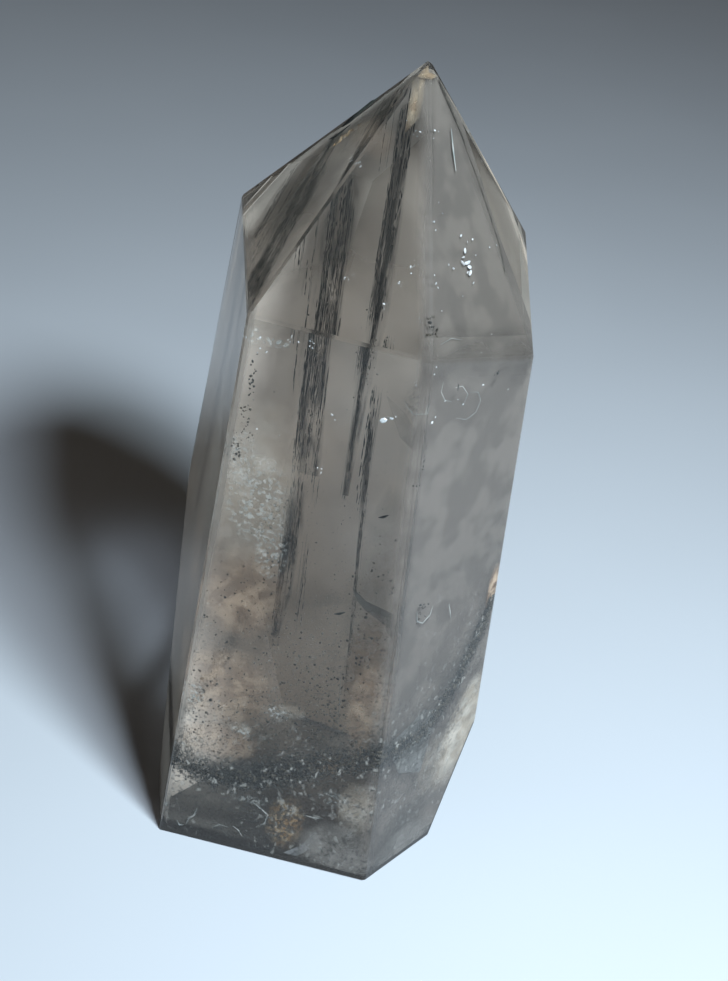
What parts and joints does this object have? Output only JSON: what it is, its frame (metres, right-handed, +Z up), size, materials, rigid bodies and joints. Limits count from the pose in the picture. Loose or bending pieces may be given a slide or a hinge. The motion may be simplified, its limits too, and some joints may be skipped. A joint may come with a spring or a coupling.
{
  "type": "tourmalinated quartz crystal",
  "caption": "Polished free-standing quartz point with a flat foot, tapered six-sided body, faceted tip, dark tourmaline needle bundles and a dark phantom band inside.",
  "frame": {"origin": "centre of the outline seen from above, on the flat foot that the crystal stands on", "axes": "+Z up along the crystal towards its tip, -Y out of the widest polished face, +X to the right seen from that face"},
  "size_m": [0.0446, 0.0442, 0.0992],
  "materials": {
    "quartz": "polished flat faces, slightly cloudy grey inside, with dark specks and tan stains low down",
    "tourmaline": "dark green-black, finely striated needles",
    "phantom": "dense dark grey-green dust and grains of an earlier growth surface"
  },
  "bodies": {
    "root": {"quartz_point": "quartz", "tourmaline_bundle_left": "tourmaline", "tourmaline_bundle_right": "tourmaline", "phantom_band": "phantom"}
  },
  "joints": []
}
